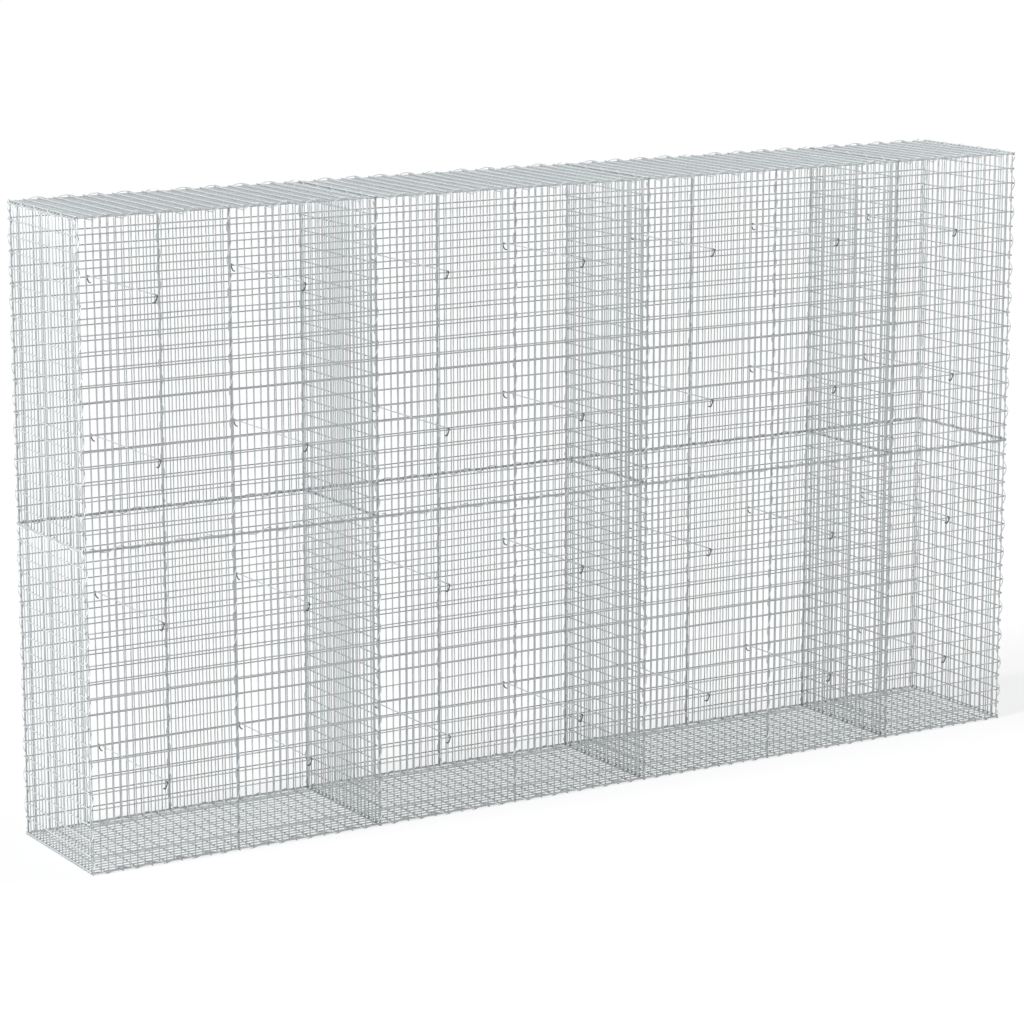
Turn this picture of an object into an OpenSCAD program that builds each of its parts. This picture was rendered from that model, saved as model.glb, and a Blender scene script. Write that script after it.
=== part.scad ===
// Free-standing gabion wall: an empty cage of welded wire mesh panels, two tiers
// high, closed by a floor and a lid, split into bays by partition panels, bound at
// its seams by wire spirals, and held at its thickness by hooked tie wires that run
// from face to face.
// +X runs along the wall, +Y from front to back, +Z up. The origin is at the
// middle of the underside.

/* [Wall] */
// Length of the wall over its end panels: three bays and a half one
wall_length = 3500; // [2450:35:4900]
// Thickness of the wall over its two mesh faces
wall_depth = 500; // [300:50:1000]
// Height of the wall over floor and lid
wall_height = 2000; // [1000:100:2400]

/* [Mesh] */
// Thickness of a mesh wire
wire_d = 4; // [3:0.5:6]
// Wire spaces across a panel: 20 in the real mesh, or 10 with every second wire
line_spaces = 10; // [10, 20]
// Wire spaces along a panel: 20 in the real mesh, or 4 with every fifth wire
cross_spaces = 4; // [4, 20]
// Play between two pieces that lie side by side
play = 0.3; // [0.2:0.05:0.5]

/* [Tie wires] */
// Thickness of a tie wire
tie_d = 4; // [3:0.5:6]
// Length of the leg that a tie's hook turns down
hook_drop = 24; // [20:1:36]
// Length of the tip that a hook turns back in
hook_tip = 14; // [10:1:20]
// Inside radius of a hook's bends
bend_r = 3; // [2:0.5:5]

/* [Binding spirals] */
// Thickness of the spirals' wire
spiral_d = 3; // [2.5:0.5:4]

/* [Hidden] */
// a face has seven panels side by side: two to a full bay and one to the last
face_panels = 7;
panels_per_bay = 2;
panel_width = wall_length / face_panels;
// height of the joint between the two tiers
seam_z = wall_height / 2;
// the wires of each panel lie in two layers: cross wires outside, long wires inside
layer = wire_d;
sheet = 2 * wire_d;
half_l = wall_length / 2;
half_d = wall_depth / 2;
// the face panels stand on the floor's outer layer, the others on its inner one
face_foot = layer + play;
inner_foot = sheet + play;
// what stands between the faces stops this far from them
face_clear = sheet + play;
// half the thickness of a face panel with the edge wire of a panel that meets it
half_stack = (face_clear + wire_d) / 2;
// a spiral turns once in this many long wire spaces, or cross wire spaces: that is
// 100 mm in the real mesh, and every 250 mm or so is shown in the coarse one
line_step = line_spaces == 20 ? 4 : 5;
cross_step = cross_spaces == 20 ? 2 : 1;
// what a spiral's middle line keeps from the wires that it binds
spiral_clear = play + spiral_d / 2;

// sides of a wire's round section, and of a full circle that a wire is bent to
wire_sides = 24;
bend_sides = 48;

mesh_grey = [0.66, 0.69, 0.70];
floor_grey = [0.60, 0.63, 0.64];
tie_grey = [0.72, 0.74, 0.75];
spiral_grey = [0.62, 0.65, 0.66];

// place number i of n + 1 equal places whose wires fill the stretch from a to b
function place(i, n, a, b) = a + i * (b - a - wire_d) / n;

// middle of the space behind place number i
function between(i, n, a, b) = place(i + 0.5, n, a, b) + wire_d / 2;

// A flat panel of wires on the XY plane. Its long wires run along Y from low[1]
// to high[1], on top. Its cross wires run along X underneath, from low[0] to
// high[0]. side is how far the outermost long wires lie in from the cross wires'
// ends, at the low and high end of X, and tail is the same for the cross wires
// along Y.
module mesh(low, high, side, tail, lines, crosses) {
    union() {
        for (i = [0 : lines])
            translate([place(i, lines, low[0] + side[0], high[0] - side[1]), low[1], layer])
                cube([wire_d, high[1] - low[1], wire_d]);
        for (j = [0 : crosses])
            translate([low[0], place(j, crosses, low[1] + tail[0], high[1] - tail[1]), 0])
                cube([high[0] - low[0], wire_d, wire_d]);
    }
}

// height range of a tier's panels, whose lowest and highest wires keep foot clear
// of the floor's underside and the lid's top
function tier_low(tier, foot) = tier == 0 ? foot : seam_z + play / 2;
function tier_high(tier, foot) = tier == 0 ? seam_z - play / 2 : wall_height - foot;

// X of the joint on the left of a face panel, by the panel's number
function joint_x(column) = -half_l + column * panel_width;

// how far a face panel's cross wires, and its long wires, stop short of a joint: at
// the ends of the wall they make room for the end panel
function cross_gap(joint) = joint == 0 || joint == face_panels ? layer + play : play / 2;
function line_gap(joint) = joint == 0 || joint == face_panels ? sheet + play : play / 2;

// stretch that a face panel's long wires fill
function lines_low(column) = joint_x(column) + line_gap(column);
function lines_high(column) = joint_x(column + 1) - line_gap(column + 1);

// One upright panel of the front face, with its cross wires outside
module face_panel(column, tier) {
    low = [joint_x(column) + cross_gap(column), tier_low(tier, face_foot)];
    high = [joint_x(column + 1) - cross_gap(column + 1), tier_high(tier, face_foot)];
    side = [lines_low(column) - low[0], high[0] - lines_high(column)];
    translate([0, -half_d, 0])
        rotate([90, 0, 0])
            mirror([0, 0, 1])
                mesh(low, high, side, [0, 0], line_spaces, cross_spaces);
}

// the panels of one bay and tier of the front face
module front_panels(bay, tier) {
    first = bay * panels_per_bay;
    last = min(first + panels_per_bay, face_panels) - 1;
    color(mesh_grey)
        for (column = [first : last])
            face_panel(column, tier);
}

module back_panels(bay, tier) {
    mirror([0, 1, 0]) front_panels(bay, tier);
}

// An upright panel across the wall, on the YZ plane through x = 0, with its cross
// wires on the side of lower X. reach is how far its cross wires run out past its
// outermost long wires.
module cross_panel(tier, reach) {
    y1 = half_d - face_clear + reach;
    low = [-y1, tier_low(tier, inner_foot)];
    high = [y1, tier_high(tier, inner_foot)];
    rotate([90, 0, 90])
        mesh(low, high, [reach, reach], [0, 0], line_spaces, cross_spaces);
}

module end_left(tier) {
    color(mesh_grey)
        translate([-half_l, 0, 0])
            cross_panel(tier, layer);
}

module end_right(tier) {
    mirror([1, 0, 0]) end_left(tier);
}

// the partition behind the joint of two bays, its long wires in line with that joint
module partition(number, tier) {
    color(mesh_grey)
        translate([joint_x(number * panels_per_bay) + wire_d / 2, 0, 0])
            mirror([1, 0, 0])
                translate([-layer, 0, 0])
                    cross_panel(tier, 0);
}

// One bay of the floor: its cross wires lie lowest and run the full depth, and its
// long wires run along the wall, out to the ends of the wall.
module floor_panel(bay) {
    first = bay * panels_per_bay;
    last = min(first + panels_per_bay, face_panels);
    left_end = first == 0;
    right_end = last == face_panels;
    x0 = joint_x(first) + (left_end ? 0 : play / 2);
    x1 = joint_x(last) - (right_end ? 0 : play / 2);
    tail = [left_end ? layer : 0, right_end ? layer : 0];
    inset = face_clear;
    crosses = (last - first) * cross_spaces / panels_per_bay;
    rotate([0, 0, 90])
        mirror([0, 1, 0])
            mesh([-half_d, x0], [half_d, x1], [inset, inset], tail, line_spaces, crosses);
}

module floor_bay(bay) {
    color(floor_grey) floor_panel(bay);
}

// the lid is a floor panel turned over
module lid_bay(bay) {
    color(mesh_grey)
        translate([0, 0, wall_height])
            mirror([0, 0, 1])
                floor_panel(bay);
}

// height of the underside of the face wire that carries a tie: the wire that lies
// that share of the way up a tier's panels
function carrier_z(tier, share) =
    place(share * cross_spaces, cross_spaces,
        tier_low(tier, face_foot), tier_high(tier, face_foot));

// a tie's X: beside the middle long wire of its face panel
function tie_x(column) =
    place(line_spaces / 2, line_spaces, lines_low(column), lines_high(column))
        + wire_d + play + tie_d / 2;

// A quarter bend of the tie wire: it comes in along +Y at the origin and turns
// down, with its centre bend_r + tie_d / 2 below.
module bend() {
    r = bend_r + tie_d / 2;
    translate([0, 0, -r])
        rotate([90, 0, 90])
            rotate_extrude(angle = 90, $fn = bend_sides)
                translate([r, 0])
                    circle(d = tie_d, $fn = wire_sides);
}

// One end of a tie, from the middle of the wall to its hook: the wire runs out
// through the mesh, down outside it and back in. The bend starts where its inside
// clears the outer edge of the wire that it hooks over. At the front the hook leans
// so far that its tip comes back on the other side of the long wire.
module half_tie() {
    r = bend_r + tie_d / 2;
    straight = half_d + play - sqrt(pow(bend_r, 2) - pow(bend_r - play, 2));
    leg = hook_drop - 2 * r;
    tip = hook_tip - r;
    lean = asin((wire_d + 2 * play + tie_d) / hook_drop);
    rotate([0, -lean, 0]) {
        rotate([-90, 0, 0]) cylinder(d = tie_d, h = straight, $fn = wire_sides);
        translate([0, straight, 0]) bend();
        translate([0, straight + r, -r - leg])
            cylinder(d = tie_d, h = leg, $fn = wire_sides);
        translate([0, straight, -hook_drop])
            mirror([0, 0, 1])
                bend();
        translate([0, straight - tip, -hook_drop])
            rotate([-90, 0, 0])
                cylinder(d = tie_d, h = tip, $fn = wire_sides);
    }
}

// the ties of one level, one to each face panel, lying on the face wires of that level
module ties(tier, share) {
    z = carrier_z(tier, share) + wire_d + play + tie_d / 2;
    color(tie_grey)
        for (column = [0 : face_panels - 1])
            translate([tie_x(column), 0, z])
                union() {
                    half_tie();
                    rotate([0, 0, 180]) half_tie();
                }
}

// The spirals are shown as closed turns, each in the middle of a mesh space.

// the spaces, of n, that a turn goes round the seam in
function turns(n, step) = [floor(step / 2) : step : n - 1];

// radius of a turn that goes round wires which reach dx and dy from its centre
function turn_r(dx, dy) = norm([dx, dy]) + spiral_clear;

// turns round the edges of two panels in one plane, of a panel that meets another
// square on at their edges, and of one whose end meets a seam
flat_r = turn_r(wire_d + play / 2, wire_d);
corner_r = turn_r(half_stack, half_stack - wire_d);
tee_r = turn_r(wire_d / 2, half_stack);
// the lid's edge wire lies over the end panel's, and two of them over a partition's
lid_end_r = turn_r(wire_d, half_stack);
lid_tee_low = -wire_d - play / 2;
lid_tee_high = 1.5 * wire_d;
lid_tee_r = turn_r((lid_tee_high - lid_tee_low) / 2, half_stack);

// one turn round the Z axis
module turn(r) {
    rotate_extrude($fn = bend_sides)
        translate([r, 0])
            circle(d = spiral_d, $fn = wire_sides);
}

module upright_turns(x, y, r) {
    for (tier = [0, 1], i = turns(cross_spaces, cross_step))
        translate([x, y, between(i, cross_spaces,
                tier_low(tier, face_foot), tier_high(tier, face_foot))])
            turn(r);
}

// children stand at each turn of a seam along the wall, whose axis is X
module along_wall(y, z) {
    for (column = [0 : face_panels - 1], i = turns(line_spaces, line_step))
        translate([between(i, line_spaces, lines_low(column), lines_high(column)), y, z])
            rotate([90, 0, 90])
                children();
}

module across_wall(x, z, r) {
    edge = half_d - face_clear;
    for (i = turns(line_spaces, line_step))
        translate([x, between(i, line_spaces, -edge, edge), z])
            rotate([90, 0, 0])
                turn(r);
}

// children stand at the front and, mirrored, at the back
module both_faces() {
    children();
    mirror([0, 1, 0]) children();
}

module both_ends() {
    children();
    mirror([1, 0, 0]) children();
}

module spirals_corners() {
    color(spiral_grey)
        both_ends() both_faces()
            upright_turns(-half_l + half_stack, -half_d + half_stack, corner_r);
}

// upright seams of the front face: each second one has a partition behind it
module spirals_front_seams() {
    color(spiral_grey)
        for (joint = [1 : face_panels - 1])
            if (joint % panels_per_bay == 0)
                upright_turns(joint_x(joint), -half_d + half_stack, tee_r);
            else
                upright_turns(joint_x(joint), -half_d + layer, flat_r);
}

module spirals_back_seams() {
    mirror([0, 1, 0]) spirals_front_seams();
}

// seams between the two tiers, round the faces and ends and across the partitions
module spirals_tier_joint() {
    color(spiral_grey) {
        both_faces() along_wall(-half_d + layer, seam_z) turn(flat_r);
        both_ends() across_wall(-half_l + layer, seam_z, flat_r);
        for (joint = [panels_per_bay : panels_per_bay : face_panels - 1])
            across_wall(joint_x(joint) + wire_d / 2, seam_z, flat_r);
    }
}

module spirals_lid() {
    z = wall_height - half_stack;
    color(spiral_grey) {
        both_faces() along_wall(-half_d + half_stack, z) turn(corner_r);
        both_ends() across_wall(-half_l + layer, z, lid_end_r);
        for (joint = [panels_per_bay : panels_per_bay : face_panels - 1])
            across_wall(joint_x(joint) + (lid_tee_low + lid_tee_high) / 2, z, lid_tee_r);
    }
}

// A turn that the ground has pressed flat: it lies on the ground, goes round the
// lowest wires of floor and face, and has a half circle at each side.
module flat_turn() {
    bottom = spiral_d / 2;
    top = face_foot + wire_d + spiral_clear;
    r = (top - bottom) / 2;
    translate([0, (bottom + top) / 2, 0]) {
        for (side = [0, 1])
            mirror([side, 0, 0])
                translate([half_stack, 0, 0])
                    rotate([0, 0, -90])
                        rotate_extrude(angle = 180, $fn = bend_sides)
                            translate([r, 0])
                                circle(d = spiral_d, $fn = wire_sides);
        for (run = [-r, r])
            translate([-half_stack, run, 0])
                rotate([0, 90, 0])
                    cylinder(d = spiral_d, h = 2 * half_stack, $fn = wire_sides);
    }
}

module spirals_floor() {
    color(spiral_grey)
        both_faces() along_wall(-half_d + half_stack, 0) flat_turn();
}

front_panels(0, 0);  // front_bay1_lower
front_panels(1, 0);  // front_bay2_lower
front_panels(2, 0);  // front_bay3_lower
front_panels(3, 0);  // front_bay4_lower
front_panels(0, 1);  // front_bay1_upper
front_panels(1, 1);  // front_bay2_upper
front_panels(2, 1);  // front_bay3_upper
front_panels(3, 1);  // front_bay4_upper
back_panels(0, 0);  // back_bay1_lower
back_panels(1, 0);  // back_bay2_lower
back_panels(2, 0);  // back_bay3_lower
back_panels(3, 0);  // back_bay4_lower
back_panels(0, 1);  // back_bay1_upper
back_panels(1, 1);  // back_bay2_upper
back_panels(2, 1);  // back_bay3_upper
back_panels(3, 1);  // back_bay4_upper
end_left(0);  // end_left_lower
end_left(1);  // end_left_upper
end_right(0);  // end_right_lower
end_right(1);  // end_right_upper
partition(1, 0);  // partition1_lower
partition(2, 0);  // partition2_lower
partition(3, 0);  // partition3_lower
partition(1, 1);  // partition1_upper
partition(2, 1);  // partition2_upper
partition(3, 1);  // partition3_upper
floor_bay(0);  // floor_bay1
floor_bay(1);  // floor_bay2
floor_bay(2);  // floor_bay3
floor_bay(3);  // floor_bay4
lid_bay(0);  // lid_bay1
lid_bay(1);  // lid_bay2
lid_bay(2);  // lid_bay3
lid_bay(3);  // lid_bay4
ties(0, 0.25);  // ties_level1
ties(0, 0.75);  // ties_level2
ties(1, 0.25);  // ties_level3
ties(1, 0.75);  // ties_level4
spirals_corners();
spirals_front_seams();
spirals_back_seams();
spirals_tier_joint();
spirals_lid();
spirals_floor();
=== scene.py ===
"""Looks of a free-standing gabion wall: galvanised welded mesh, ties and binding spirals.

Each piece is read from the CAD frame: a panel's outer plane carries its cross wires and
its inner plane its long wires. The frame shows a coarse mesh, and this script lays every
wire of the real one between the same edge wires.
"""
import math
from collections import namedtuple

import bpy
import numpy as np
from mathutils import Euler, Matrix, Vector


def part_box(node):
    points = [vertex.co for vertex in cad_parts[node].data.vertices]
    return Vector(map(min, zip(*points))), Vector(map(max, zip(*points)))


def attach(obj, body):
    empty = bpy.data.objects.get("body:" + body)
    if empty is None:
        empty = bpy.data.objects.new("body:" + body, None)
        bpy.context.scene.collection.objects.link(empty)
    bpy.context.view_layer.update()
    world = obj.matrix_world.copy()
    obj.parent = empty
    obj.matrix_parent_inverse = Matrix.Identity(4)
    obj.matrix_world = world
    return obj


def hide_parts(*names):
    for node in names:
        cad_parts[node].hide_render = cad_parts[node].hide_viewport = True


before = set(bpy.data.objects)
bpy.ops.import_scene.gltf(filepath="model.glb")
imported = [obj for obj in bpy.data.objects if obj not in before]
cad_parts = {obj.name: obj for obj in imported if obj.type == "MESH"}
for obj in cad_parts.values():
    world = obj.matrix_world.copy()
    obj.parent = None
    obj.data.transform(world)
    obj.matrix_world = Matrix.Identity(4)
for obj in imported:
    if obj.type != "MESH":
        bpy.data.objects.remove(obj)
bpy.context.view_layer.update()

# ---- the wall, in metres --------------------------------------------------------

TIERS = ("lower", "upper")
BAYS = (1, 2, 3, 4)
PARTITIONS = (1, 2, 3)
TIE_LEVELS = (1, 2, 3, 4)
PANELS = 7  # face panels along the wall
LINES = 20  # spaces between the long wires of a panel
CROSS_SPACE = 0.05  # space between cross wires, which the panels fit a whole number of
WIRE = 0.004
PLAY = 0.0003  # between pieces side by side
HALF_STACK = (3 * WIRE + PLAY) / 2  # half the thickness of three wires on each other
NEAR = 1e-5  # two places this close are one

TIE = 0.004
HOOK_DROP = 0.024
HOOK_TIP = 0.014
HOOK_BEND = 0.003  # inside radius

SPIRAL = 0.003
CROSS_SPACES_PER_TURN = 2  # mesh spaces that a turn passes, on upright seams
LINE_SPACES_PER_TURN = 4  # and on level ones
SEAM_END = 0.012  # a spiral stops this short of its seam's ends

# ---- detail of the meshes -------------------------------------------------------

WIRE_SIDES = 8
WIRE_STEPS = 5  # stretches along a mesh wire, so that it can waver
WAVER = 0.0003
TIE_SIDES = 10
TIE_STEPS = 11  # stretches from a tie's middle to its hook
BEND_STEPS = 6
TURN_STEPS = 16  # stretches in one turn of a spiral
CHAMFER = 0.3  # of a cut end, as a share of the wire's radius

BEAD_SIDES = 8
BEAD_R = 0.0027
BEAD_DEPTH = 0.0016
BEAD_SPREAD = (0.85, 1.1)  # least and greatest reach of a bead's rim, as shares of BEAD_R

# The texture map has a row for each tube, and rows of beads after them
BEADS_IN_ROW = 48
ROW_MARGIN = 0.06
CAP_MAP = (0.002, 0.4)  # half the width and height of a cut end in its tube's row
RIM_MAP = (0.24, 0.48)  # half the width and height of a bead's side in its cell
RIM_MIDDLES = (0.25, 0.75)  # where a bead's two sides lie across its cell

PANEL_SEED, TIE_SEED, SPIRAL_SEED = 11, 111, 211

X, Y, Z = 0, 1, 2
EAST, NORTH, UP = np.eye(3)

# ---- finish ---------------------------------------------------------------------

# how dark the zinc is made, from 0 to 1, for wear and painted shade: welds are fully worn, cut ends
# are fully darkened as bare steel and painted shade, and tie hooks carry full painted shade
CROSS_PAINTED_SHADE = 0.5  # painted shade on a face panel's level cross wires, kept darker than its uprights as the light falls

METALLIC = 0.35
SPANGLES = 420.0  # per metre
PATCHES = 28.0
GRAINS = 1400.0
PATCH_SHARE = 0.8  # most that a patch lightens the spangles
TONE_SHARE = 0.3  # most that a wire's own tone darkens it
WEAR_AND_SHADE_SHARE = 0.7  # how far the full value of the wear attribute, which also carries painted shade, goes towards the cut colour
# a tie's darkening reaches its hook colour fully: painted shade on its hooks
TIE_HOOK_SHADE_SHARE = 1.0
ROUGHNESS = (0.34, 0.52)
WEAR_ROUGHNESS = 0.15  # which the full value of the wear attribute adds, also where it carries painted shade
GRAIN_STRENGTH = 0.25
GRAIN_DEPTH = 0.0002

# the colour that welds and cut ends go towards, which is also painted shade on face panels' level
# cross wires
BARE_STEEL_AND_SHADE = (0.26, 0.27, 0.275, 1)
HOOK_PAINTED_SHADE = (0.10, 0.11, 0.115, 1)  # painted shade on a tie's hooks, which face away from the key light

# ---- light and camera -----------------------------------------------------------

WHITE = (1, 1, 1, 1)
WORLD_COLOUR = (0.96, 0.98, 1.0, 1)
WORLD_LIGHT = 0.27
FLOOR_COLOUR = (0.9, 0.9, 0.9, 1)
FLOOR_ROUGHNESS = 0.9
FLOOR_SIZE = 160.0
FLOOR_WHITE = 0.7  # share of the floor's look that is plain white
FLOOR_GLOW = 1.03

KEY_FROM = (-0.80, -0.05, 0.60)
KEY_STRENGTH = 3.4
FILL_FROM = (0.80, -0.10, 0.55)
FILL_STRENGTH = 1.1
SUN_SPREAD = 25.0  # degrees
SUN_DISTANCE = 4  # of a lamp's own object, which doesn't change its light

CAMERA_PLACE = (-5.875, -9.463, 3.22)
CAMERA_HEADING = 31.34  # degrees from +Y towards +X
CAMERA_DIP = 11.82  # degrees below level
LENS = 121.85
SENSOR = 36.0
SIGHT = 200.0  # how far the camera sees


# ---- gathering meshes -----------------------------------------------------------

class Shape:
    """Tubes and beads of one piece, with their places in its texture map."""

    def __init__(self, name):
        self.name = name
        self.points = []
        self.faces = []
        self.tubes = 0
        self.beads = 0
        self.places = []  # per face: its tube or bead, and its corners' places in that
        self.tone = []
        self.wear_and_shade = []
        self.count = 0

    def add(self, points, faces, places, tone, wear_and_shade):
        self.points.append(points)
        self.faces += [tuple(i + self.count for i in face) for face in faces]
        self.places += places
        self.tone.append(np.full(len(points), tone))
        self.wear_and_shade.append(wear_and_shade)
        self.count += len(points)


def sweep(shape, path, radius, sides, tone, wear_and_shade=0.0):
    """A round wire along a path, whose cut ends are chamfered and darkened: bare steel, and painted
    shade. The wear value, which carries painted shade as well as wear, is that of the whole wire,
    or of each place of the path."""
    path = np.asarray(path, float)
    ahead = np.gradient(path, axis=0)
    ahead /= np.linalg.norm(ahead, axis=1)[:, None]
    # chamfered ends: the first and last rings are narrower, and one more lies inside each
    cut = CHAMFER * radius
    path = np.vstack([path[0], path[0] + ahead[0] * cut, path[1:-1],
                      path[-1] - ahead[-1] * cut, path[-1]])
    ahead = np.vstack([ahead[0], ahead, ahead[-1]])
    radii = np.full(len(path), radius)
    radii[[0, -1]] = radius - cut
    angles = np.arange(sides) * math.tau / sides
    side = np.array(Vector(ahead[0]).orthogonal().normalized())
    rings = []
    for place, way, r in zip(path, ahead, radii):
        side = side - way * (side @ way)
        side /= np.linalg.norm(side)
        up = np.cross(way, side)
        rings.append(place + r * (np.outer(np.cos(angles), side) + np.outer(np.sin(angles), up)))
    n = len(path)
    row = ("tube", shape.tubes)
    faces, places = [], []
    for i in range(n - 1):
        u0, u1 = i / (n - 1), (i + 1) / (n - 1)
        for j in range(sides):
            k = (j + 1) % sides
            a, b = i * sides, (i + 1) * sides
            faces.append((a + j, a + k, b + k, b + j))
            v0, v1 = j / sides, (j + 1) / sides
            places.append((row, ((u0, v0), (u0, v1), (u1, v1), (u1, v0))))
    last = (n - 1) * sides
    faces.append(tuple(range(sides - 1, -1, -1)))
    faces.append(tuple(range(last, last + sides)))
    for u in (0.0, 1.0):
        places.append((row, tuple((abs(u - CAP_MAP[0] * (1 + math.cos(a))),
                                   0.5 + CAP_MAP[1] * math.sin(a)) for a in angles)))
    # the cut ends are fully darkened: bare steel, with painted shade
    wear_and_shade = np.hstack([1.0, np.broadcast_to(wear_and_shade, n - 2), 1.0])
    shape.add(np.vstack(rings), faces, places, tone, np.repeat(wear_and_shade, sides))
    shape.tubes += 1


def bead(shape, place, normal_axis, rng, tone):
    """The lens of weld metal between two wires that cross at a place."""
    spin = rng.uniform(0, math.tau)
    angles = spin + np.arange(BEAD_SIDES) * math.tau / BEAD_SIDES
    reach = BEAD_R * rng.uniform(*BEAD_SPREAD, BEAD_SIDES)
    flat = [axis for axis in (X, Y, Z) if axis != normal_axis]
    points = np.tile(np.asarray(place, float), (BEAD_SIDES + 2, 1))
    points[:BEAD_SIDES, flat[0]] += reach * np.cos(angles)
    points[:BEAD_SIDES, flat[1]] += reach * np.sin(angles)
    points[BEAD_SIDES, normal_axis] += BEAD_DEPTH
    points[BEAD_SIDES + 1, normal_axis] -= BEAD_DEPTH

    def rim(middle, corner):
        """Where a corner of the rim lies in the bead's cell of the map."""
        angle = corner * math.tau / BEAD_SIDES
        return middle + RIM_MAP[0] * math.cos(angle), 0.5 + RIM_MAP[1] * math.sin(angle)

    faces, places = [], []
    row = ("bead", shape.beads)
    turned = normal_axis == Y
    for top, middle in zip((BEAD_SIDES, BEAD_SIDES + 1), RIM_MIDDLES):
        outwards = (top == BEAD_SIDES) != turned
        for j in range(BEAD_SIDES):
            k = (j + 1) % BEAD_SIDES
            first, second = (j, k) if outwards else (k, j)
            faces.append((first, second, top))
            places.append((row, (rim(middle, first), rim(middle, second), (middle, 0.5))))
    shape.add(points, faces, places, tone, np.ones(BEAD_SIDES + 2))
    shape.beads += 1


def make_piece(shape, material, cad_node):
    """Turns a gathered shape into a piece that stands for its CAD node."""
    mesh = bpy.data.meshes.new(shape.name)
    points = np.vstack(shape.points)
    mesh.from_pydata(points.tolist(), [], shape.faces)
    rows = shape.tubes + math.ceil(shape.beads / BEADS_IN_ROW)
    corners = []
    for (kind, number), face in shape.places:
        if kind == "tube":
            row, left, width = number, 0.0, 1.0
        else:
            row = shape.tubes + number // BEADS_IN_ROW
            left, width = (number % BEADS_IN_ROW) / BEADS_IN_ROW, 1 / BEADS_IN_ROW
        for u, v in face:
            corners.append(left + width * u)
            corners.append((row + ROW_MARGIN + (1 - 2 * ROW_MARGIN) * v) / rows)
    uv = mesh.uv_layers.new(name="OFBake")
    uv.data.foreach_set("uv", np.array(corners, np.float32))
    for name, values in (("tone", shape.tone), ("wear_and_shade", shape.wear_and_shade)):
        attribute = mesh.attributes.new(name, "FLOAT", "POINT")
        attribute.data.foreach_set("value", np.concatenate(values).astype(np.float32))
    mesh.materials.append(material)
    mesh.shade_smooth()
    piece = bpy.data.objects.new(shape.name, mesh)
    bpy.context.scene.collection.objects.link(piece)
    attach(piece, "root")
    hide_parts(cad_node)


# ---- mesh panels ----------------------------------------------------------------

class Panel:
    """One welded panel, read from its CAD node between two places along the wall."""

    def __init__(self, cad_node, normal, outward, low=-math.inf, high=math.inf):
        co = np.array([v.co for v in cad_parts[cad_node].data.vertices], float)
        co = co[(co[:, X] > low - NEAR) & (co[:, X] < high + NEAR)]
        level = co[:, normal] * outward
        cross = co[level > level.max() - NEAR]
        line = co[level < level.min() + NEAR]
        r = WIRE / 2
        self.normal = normal
        self.along = X if normal == Z else Z
        self.across = X if normal == Y else Y
        self.middle = outward * (level.max() + level.min()) / 2
        self.cross_level = outward * (level.max() - r)
        self.line_level = outward * (level.min() + r)
        self.line_run = line[:, self.along].min(), line[:, self.along].max()
        self.cross_run = cross[:, self.across].min(), cross[:, self.across].max()
        first, last = line[:, self.across].min() + r, line[:, self.across].max() - r
        self.lines = np.linspace(first, last, LINES + 1)
        first, last = cross[:, self.along].min() + r, cross[:, self.along].max() - r
        crosses = round((last - first) / CROSS_SPACE)
        self.crosses = np.linspace(first, last, crosses + 1)

    def place(self, across, along, level):
        spot = np.zeros(3)
        spot[[self.across, self.along, self.normal]] = across, along, level
        return spot

    def wire(self, shape, rng, start, end, wear_and_shade=0.0):
        """A straight wire that wavers a little within the panel's plane."""
        steps = np.linspace(0, 1, WIRE_STEPS + 1)[:, None]
        path = start + (end - start) * steps
        side = self.across if abs(end[self.along] - start[self.along]) > NEAR else self.along
        path[1:-1, side] += rng.normal(0, WAVER, WIRE_STEPS - 1)
        sweep(shape, path, WIRE / 2, WIRE_SIDES, rng.uniform(), wear_and_shade)

    def build(self, shape, rng):
        # painted shade: a face panel's level cross wires are darkened halfway, as the light leaves
        # them darker than its uprights
        wear_and_shade = CROSS_PAINTED_SHADE if self.normal == Y else 0.0
        for across in self.lines:
            self.wire(shape, rng, self.place(across, self.line_run[0], self.line_level),
                      self.place(across, self.line_run[1], self.line_level))
        for along in self.crosses:
            self.wire(shape, rng, self.place(self.cross_run[0], along, self.cross_level),
                      self.place(self.cross_run[1], along, self.cross_level), wear_and_shade)
        for across in self.lines:
            for along in self.crosses:
                bead(shape, self.place(across, along, self.middle), self.normal, rng,
                     rng.uniform())


wall_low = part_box("lid_bay1")[0].x
wall_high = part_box("lid_bay4")[1].x
panel_width = (wall_high - wall_low) / PANELS


def joint_x(number):
    return wall_low + number * panel_width


def bay_columns(bay):
    return [c for c in (2 * bay - 2, 2 * bay - 1) if c < PANELS]


face_panels = {}  # (side, tier, column): Panel
panels = {}  # CAD node: its panels
for side, outward in (("front", -1), ("back", 1)):
    for tier in TIERS:
        for bay in BAYS:
            name = f"{side}_bay{bay}_{tier}"
            panels[name] = []
            for column in bay_columns(bay):
                panel = Panel(name, Y, outward, joint_x(column), joint_x(column + 1))
                face_panels[side, tier, column] = panel
                panels[name].append(panel)
for tier in TIERS:
    for side, outward in (("left", -1), ("right", 1)):
        panels[f"end_{side}_{tier}"] = [Panel(f"end_{side}_{tier}", X, outward)]
    for number in PARTITIONS:
        panels[f"partition{number}_{tier}"] = [Panel(f"partition{number}_{tier}", X, 1)]
for bay in BAYS:
    panels[f"floor_bay{bay}"] = [Panel(f"floor_bay{bay}", Z, -1)]
    panels[f"lid_bay{bay}"] = [Panel(f"lid_bay{bay}", Z, 1)]


# ---- tie wires ------------------------------------------------------------------

def arc(centre, start, end, radius):
    """Points on an arc in the plane of Y and Z, its angles counted from +Y to +Z."""
    angles = np.linspace(start, end, BEND_STEPS + 1)
    return [(centre[0] + radius * math.cos(a), centre[1] + radius * math.sin(a)) for a in angles]


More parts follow.
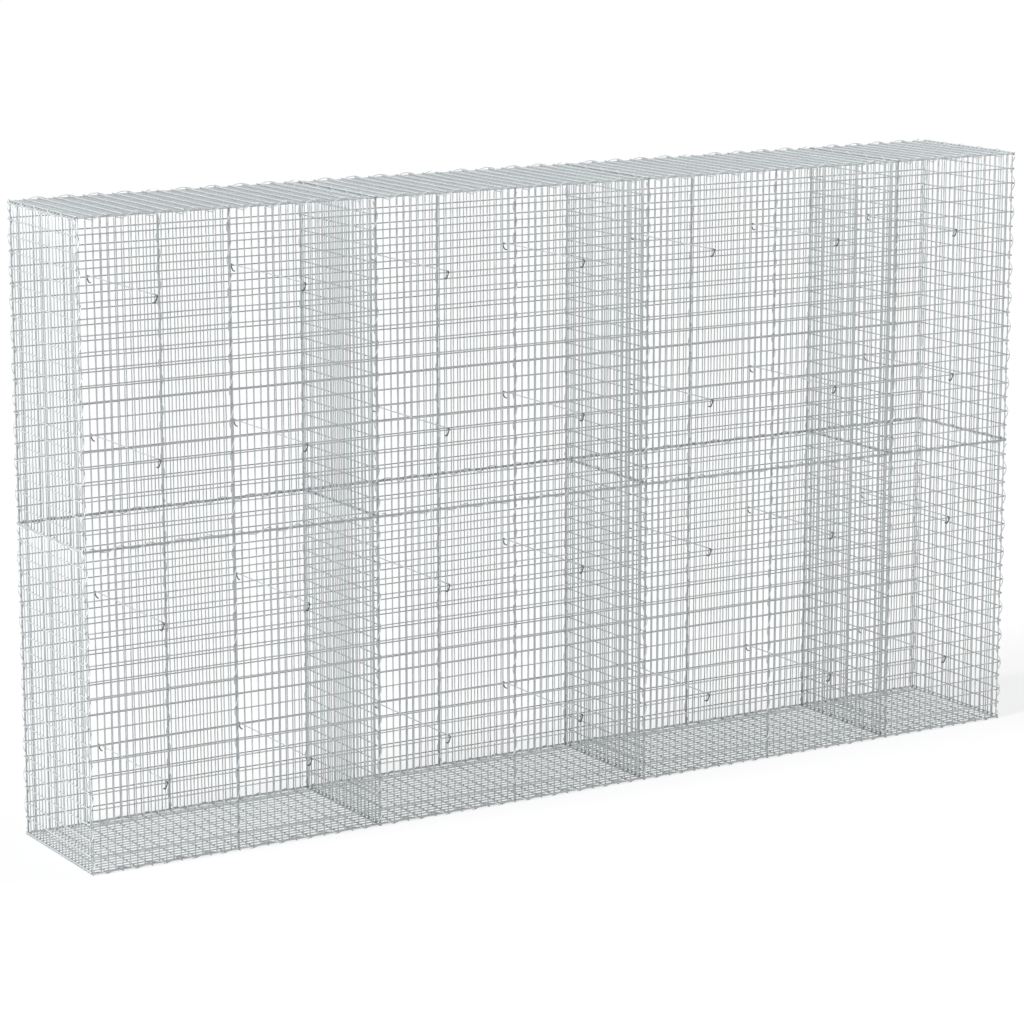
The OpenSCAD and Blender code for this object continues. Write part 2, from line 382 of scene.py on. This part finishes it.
def half_tie(half_depth):
    """Outer half of a tie in the plane of Y and Z, from its middle to its hook's tip."""
    r = HOOK_BEND + TIE / 2
    straight = half_depth + PLAY - math.sqrt(HOOK_BEND ** 2 - (HOOK_BEND - PLAY) ** 2)
    run = [(y, 0.0) for y in np.linspace(0, straight, TIE_STEPS + 1)[:-1]]
    run += arc((straight, -r), math.pi / 2, 0, r)
    run += arc((straight, -HOOK_DROP + r), 0, -math.pi / 2, r)
    run.append((straight - (HOOK_TIP - r) / 2, -HOOK_DROP))
    run.append((straight - (HOOK_TIP - r), -HOOK_DROP))
    return np.array(run)


def tie_path(x, z, half_depth):
    """A whole tie, and where it is darkened: its hooks carry painted shade, as they face away from
    the key light.
    """
    lean = math.asin((WIRE + 2 * PLAY + TIE) / HOOK_DROP)
    half = half_tie(half_depth)
    back = np.column_stack([-half[:, 1] * math.sin(lean), half[:, 0], half[:, 1] * math.cos(lean)])
    front = back * (-1, -1, 1)
    # painted shade on the hooks
    darkened = (half[:, 0] > half_depth - HOOK_TIP).astype(float)
    return (np.vstack([front[:0:-1], back]) + (x, 0, z),
            np.hstack([darkened[:0:-1], darkened]))


# ---- binding spirals ------------------------------------------------------------

class Seam:
    """A seam's line: where it starts, the axis it runs along, and two axes across it."""

    def __init__(self, start, along, first, second):
        self.start = np.array(start, float)
        self.axes = along, first, second

    def spot(self, a, u, v):
        return self.start + a * self.axes[0] + u * self.axes[1] + v * self.axes[2]


def round_turn(u, v, radius):
    """A round section of a spiral, whose middle lies at u and v from the seam's line."""
    def section(turn):
        angle = math.tau * turn
        return u + radius * math.cos(angle), v + radius * math.sin(angle)
    return section


def flat_turn(turn):
    """A turn pressed flat by the ground, from the middle of its upper run outwards."""
    bottom = SPIRAL / 2
    top = 2 * WIRE + 2 * PLAY + SPIRAL / 2
    middle, r = (top + bottom) / 2, (top - bottom) / 2
    run, bend = 2 * HALF_STACK, math.pi * r
    s = (turn % 1) * 2 * (run + bend)
    if s < run / 2:
        u, v = -s, r
    elif s < run / 2 + bend:
        angle = math.pi / 2 + (s - run / 2) / r
        u, v = -run / 2 + r * math.cos(angle), r * math.sin(angle)
    elif s < 1.5 * run + bend:
        u, v = s - bend - run, -r
    elif s < 1.5 * run + 2 * bend:
        angle = -math.pi / 2 + (s - 1.5 * run - bend) / r
        u, v = run / 2 + r * math.cos(angle), r * math.sin(angle)
    else:
        u, v = 2 * (run + bend) - s, r
    return HALF_STACK + u, middle + v


# A way to bind a seam: the section of its turns, the share of the pitch at which a turn
# starts, and how far the far side of each turn is shifted along the seam. The sections
# just clear the wires they bind, as searched for wires of these sizes: the middle's place
# in from the sheet's middle, or from the outer faces, and the radius.
Binding = namedtuple("Binding", "section phase lean")
SIDE_BY_SIDE = Binding(round_turn(0, 0.00225, 0.0060), 0.0, 0.0)
TEE = Binding(round_turn(0.0005, 0.0030, 0.0072), 0.5, 0.0)
CORNER = Binding(round_turn(0.00625, 0.00625, 0.0078), 0.375, 0.0)
TIERS_MEET = Binding(round_turn(0, 0.00075, 0.0074), 0.125, 0.0)
LID_EDGE = Binding(round_turn(0.0060, 0.0055, 0.0082), 0.2083, -0.008)
LID_END = Binding(round_turn(0.0035, 0.0060, 0.0084), 0.125, 0.012)
LID_TEE = Binding(round_turn(0.0005, 0.0065, 0.0090), 0.1667, -0.006)
ON_GROUND = Binding(flat_turn, 0.125, -0.008)


def spiral(shape, rng, seam, binding, pitch, length):
    """A spiral along a seam of a given length."""
    begin, end = SEAM_END, length - SEAM_END
    steps = round((end - begin) / pitch * TURN_STEPS)
    path = []
    for a in np.linspace(begin, end, steps + 1):
        turn = a / pitch - binding.phase
        shift = binding.lean * (1 - math.cos(math.tau * turn)) / 2
        path.append(seam.spot(a + shift, *binding.section(turn)))
    sweep(shape, path, SPIRAL / 2, WIRE_SIDES, rng.uniform())


def upright_spirals(shape, rng, x, y, first, second, crosses, binding):
    """Round an upright seam, in step with the cross wires, whose levels crosses has for
    each tier."""
    for levels in crosses:
        pitch = CROSS_SPACES_PER_TURN * (levels[1] - levels[0])
        seam = Seam((x, y, levels[0]), UP, first, second)
        spiral(shape, rng, seam, binding, pitch, levels[-1] - levels[0])


def level_spiral(shape, rng, start, along, first, second, lines, binding):
    """Round a level seam, in step with the long wires that meet it."""
    pitch = LINE_SPACES_PER_TURN * (lines[1] - lines[0])
    spiral(shape, rng, Seam(start, along, first, second), binding, pitch,
           lines[-1] - lines[0])


# ---- materials ------------------------------------------------------------------

def add_node(tree, kind, **values):
    """Adds a shader node and sets its inputs, or its own settings, by name."""
    made = tree.nodes.new(kind)
    for name, value in values.items():
        if name in made.inputs.keys():
            made.inputs[name].default_value = value
        else:
            setattr(made, name, value)
    return made


def galvanised(name, dark, light, cut, wear_and_shade_share=WEAR_AND_SHADE_SHARE):
    """Hot-dip zinc: spangled grey, duller in patches, darker where the wear attribute says, which
    marks worn welds, bare cut ends and painted shade, each wire its own.
    """
    material = bpy.data.materials.new(name)
    material.use_nodes = True
    tree = material.node_tree
    shader = tree.nodes["Principled BSDF"]
    shader.inputs["Metallic"].default_value = METALLIC
    shader.inputs["Specular IOR Level"].default_value = 0.5
    link = tree.links.new
    place = add_node(tree, "ShaderNodeTexCoord").outputs["Object"]
    spangle = add_node(tree, "ShaderNodeTexVoronoi", Scale=SPANGLES)
    patches = add_node(tree, "ShaderNodeTexNoise", Scale=PATCHES, Detail=4.0, Roughness=0.6)
    grain = add_node(tree, "ShaderNodeTexNoise", Scale=GRAINS, Detail=3.0)
    for texture in (spangle, patches, grain):
        link(place, texture.inputs["Vector"])
    tone = add_node(tree, "ShaderNodeAttribute", attribute_name="tone")
    wear_and_shade = add_node(tree, "ShaderNodeAttribute", attribute_name="wear_and_shade")

    def mixed(weight, a, b):
        """Mixes two colours; the sockets of a Mix node for colours go by number."""
        mix = add_node(tree, "ShaderNodeMix", data_type="RGBA")
        for source, socket in ((weight, 0), (a, 6), (b, 7)):
            if isinstance(source, tuple):
                mix.inputs[socket].default_value = source
            else:
                link(source, mix.inputs[socket])
        return mix.outputs[2]

    def ramp(source, low, high):
        fit = add_node(tree, "ShaderNodeMapRange", **{"To Min": low, "To Max": high})
        link(source, fit.inputs["Value"])
        return fit.outputs["Result"]

    spangled = mixed(ramp(spangle.outputs["Color"], 0.0, 1.0), dark, light)
    patched = mixed(ramp(patches.outputs["Fac"], 0.0, PATCH_SHARE), spangled, light)
    toned = mixed(ramp(tone.outputs["Fac"], 0.0, TONE_SHARE), patched, dark)
    # towards the cut colour by the wear attribute: worn welds, bare cut ends, and painted shade on
    # level cross wires and tie hooks
    darkened = mixed(ramp(wear_and_shade.outputs["Fac"], 0.0, wear_and_shade_share), toned, cut)
    link(darkened, shader.inputs["Base Color"])
    rough = add_node(tree, "ShaderNodeMath", operation="ADD")
    link(ramp(patches.outputs["Fac"], *ROUGHNESS), rough.inputs[0])
    link(ramp(wear_and_shade.outputs["Fac"], 0.0, WEAR_ROUGHNESS), rough.inputs[1])
    link(rough.outputs[0], shader.inputs["Roughness"])
    bump = add_node(tree, "ShaderNodeBump", Strength=GRAIN_STRENGTH, Distance=GRAIN_DEPTH)
    link(grain.outputs["Fac"], bump.inputs["Height"])
    link(bump.outputs["Normal"], shader.inputs["Normal"])
    return material


MESH_ZINC = galvanised("mesh_zinc", (0.42, 0.45, 0.46, 1), (0.66, 0.69, 0.70, 1), BARE_STEEL_AND_SHADE)
# the ties' cut colour is painted shade on their hooks
TIE_ZINC = galvanised("tie_zinc", (0.50, 0.53, 0.54, 1), (0.74, 0.77, 0.78, 1), HOOK_PAINTED_SHADE,
                      TIE_HOOK_SHADE_SHARE)
SPIRAL_ZINC = galvanised("spiral_zinc", (0.52, 0.55, 0.56, 1), (0.78, 0.81, 0.82, 1),
                         BARE_STEEL_AND_SHADE)


# ---- pieces ---------------------------------------------------------------------

def make_panels():
    for number, (cad_node, parts) in enumerate(sorted(panels.items())):
        shape = Shape(cad_node + "_mesh")
        rng = np.random.default_rng(PANEL_SEED + number)
        for panel in parts:
            panel.build(shape, rng)
        make_piece(shape, MESH_ZINC, cad_node)


def make_ties():
    """Each tie lies on its face panels' cross wires, beside their middle long wires."""
    half_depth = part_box("floor_bay1")[1].y
    for level in TIE_LEVELS:
        cad_node = f"ties_level{level}"
        shape = Shape(cad_node + "_wire")
        rng = np.random.default_rng(TIE_SEED + level)
        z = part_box(cad_node)[1].z - TIE / 2
        for column in range(PANELS):
            middle = face_panels["front", "lower", column].lines[LINES // 2]
            x = middle + WIRE / 2 + PLAY + TIE / 2
            path, darkened = tie_path(x, z, half_depth)
            sweep(shape, path, TIE / 2, TIE_SIDES, rng.uniform(), darkened)
        make_piece(shape, TIE_ZINC, cad_node)


def make_spirals():
    rng = np.random.default_rng(SPIRAL_SEED)
    corners, tier_joint, lid, floor = (Shape(f"spirals_{name}_wire")
                                       for name in ("corners", "tier_joint", "lid", "floor"))
    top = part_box("lid_bay1")[1].z
    below, above = (face_panels["front", tier, 1].line_run for tier in TIERS)
    tier_z = (below[1] + above[0]) / 2
    for side, inward in (("front", NORTH), ("back", -NORTH)):
        seams = Shape(f"spirals_{side}_seams_wire")
        for joint in range(1, PANELS):
            binding = TEE if joint % 2 == 0 else SIDE_BY_SIDE
            crosses = [face_panels[side, tier, joint].crosses for tier in TIERS]
            upright_spirals(seams, rng, joint_x(joint), face_panels[side, "lower", joint].middle,
                            EAST, inward, crosses, binding)
        make_piece(seams, SPIRAL_ZINC, f"spirals_{side}_seams")
        for column, x, across in ((0, wall_low, EAST), (PANELS - 1, wall_high, -EAST)):
            outer = face_panels[side, "lower", column].middle - WIRE * inward[Y]
            crosses = [face_panels[side, tier, column].crosses for tier in TIERS]
            upright_spirals(corners, rng, x, outer, across, inward, crosses, CORNER)
        for column in range(PANELS):
            face = face_panels[side, "lower", column]
            x = face.lines[0]
            outer = face.middle - WIRE * inward[Y]
            level_spiral(tier_joint, rng, (x, face.middle, tier_z), EAST, UP, inward,
                         face.lines, TIERS_MEET)
            level_spiral(lid, rng, (x, outer, top), EAST, inward, -UP, face.lines, LID_EDGE)
            level_spiral(floor, rng, (x, outer, 0), EAST, inward, UP, face.lines, ON_GROUND)
    make_piece(corners, SPIRAL_ZINC, "spirals_corners")
    for side, inward, x in (("left", EAST, wall_low), ("right", -EAST, wall_high)):
        end = panels[f"end_{side}_lower"][0]
        y = end.lines[0]
        level_spiral(tier_joint, rng, (end.middle, y, tier_z), NORTH, UP, inward, end.lines,
                     TIERS_MEET)
        level_spiral(lid, rng, (x, y, top), NORTH, inward, -UP, end.lines, LID_END)
    for number in PARTITIONS:
        part = panels[f"partition{number}_lower"][0]
        y = part.lines[0]
        level_spiral(tier_joint, rng, (part.middle, y, tier_z), NORTH, UP, -EAST, part.lines,
                     TIERS_MEET)
        level_spiral(lid, rng, (part.line_level, y, top), NORTH, EAST, -UP, part.lines,
                     LID_TEE)
    make_piece(tier_joint, SPIRAL_ZINC, "spirals_tier_joint")
    make_piece(lid, SPIRAL_ZINC, "spirals_lid")
    make_piece(floor, SPIRAL_ZINC, "spirals_floor")


# ---- stage, light and camera ----------------------------------------------------

def plain_white_seen(tree, seen, lit):
    """Mixes a surface that the camera and clear or shiny things see with one that lights."""
    link = tree.links.new
    path = add_node(tree, "ShaderNodeLightPath")
    any_ray = path.outputs["Is Camera Ray"]
    for output in ("Is Glossy Ray", "Is Transmission Ray"):
        largest = add_node(tree, "ShaderNodeMath", operation="MAXIMUM")
        link(any_ray, largest.inputs[0])
        link(path.outputs[output], largest.inputs[1])
        any_ray = largest.outputs[0]
    mix = add_node(tree, "ShaderNodeMixShader")
    link(any_ray, mix.inputs[0])
    link(lit, mix.inputs[1])
    link(seen, mix.inputs[2])
    return mix.outputs[0]


def make_world():
    world = bpy.data.worlds.new("studio")
    bpy.context.scene.world = world
    world.use_nodes = True
    tree = world.node_tree
    out = tree.nodes["World Output"]
    lit = add_node(tree, "ShaderNodeBackground", Color=WORLD_COLOUR, Strength=WORLD_LIGHT)
    seen = add_node(tree, "ShaderNodeBackground", Color=WHITE, Strength=1.0)
    tree.links.new(plain_white_seen(tree, seen.outputs[0], lit.outputs[0]), out.inputs[0])


def make_floor():
    """A pale floor, mostly white by itself, so that only soft shadows show on it."""
    mesh = bpy.data.meshes.new("floor")
    half = FLOOR_SIZE / 2
    mesh.from_pydata([(-half, -half, 0), (half, -half, 0), (half, half, 0), (-half, half, 0)],
                     [], [(0, 1, 2, 3)])
    floor = bpy.data.objects.new("studio_floor", mesh)
    bpy.context.scene.collection.objects.link(floor)
    material = bpy.data.materials.new("studio_floor")
    material.use_nodes = True
    tree = material.node_tree
    lit = tree.nodes["Principled BSDF"]
    lit.inputs["Base Color"].default_value = FLOOR_COLOUR
    lit.inputs["Roughness"].default_value = FLOOR_ROUGHNESS
    lit.inputs["Specular IOR Level"].default_value = 0.0
    white = add_node(tree, "ShaderNodeEmission", Color=WHITE, Strength=FLOOR_GLOW)
    seen = add_node(tree, "ShaderNodeMixShader")
    seen.inputs[0].default_value = FLOOR_WHITE
    tree.links.new(lit.outputs[0], seen.inputs[1])
    tree.links.new(white.outputs[0], seen.inputs[2])
    surface = plain_white_seen(tree, seen.outputs[0], lit.outputs[0])
    tree.links.new(surface, tree.nodes["Material Output"].inputs[0])
    mesh.materials.append(material)


def add_sun(name, comes_from, strength):
    """A broad, even light from a direction."""
    lamp = bpy.data.lights.new(name, "SUN")
    lamp.energy = strength
    lamp.angle = math.radians(SUN_SPREAD)
    holder = bpy.data.objects.new(name, lamp)
    holder.location = Vector(comes_from) * SUN_DISTANCE
    holder.rotation_euler = Vector(comes_from).to_track_quat("Z", "Y").to_euler()
    bpy.context.scene.collection.objects.link(holder)


def make_lights():
    add_sun("key", KEY_FROM, KEY_STRENGTH)
    add_sun("fill", FILL_FROM, FILL_STRENGTH)


def make_camera():
    camera = bpy.data.cameras.new("camera")
    camera.lens = LENS
    camera.sensor_width = SENSOR
    camera.clip_end = SIGHT
    holder = bpy.data.objects.new("camera", camera)
    holder.location = CAMERA_PLACE
    holder.rotation_euler = Euler((math.radians(90 - CAMERA_DIP), 0, -math.radians(CAMERA_HEADING)))
    bpy.context.scene.collection.objects.link(holder)
    bpy.context.scene.camera = holder


make_panels()
make_ties()
make_spirals()
make_world()
make_floor()
make_lights()
make_camera()
bpy.context.scene.view_settings.view_transform = "Standard"
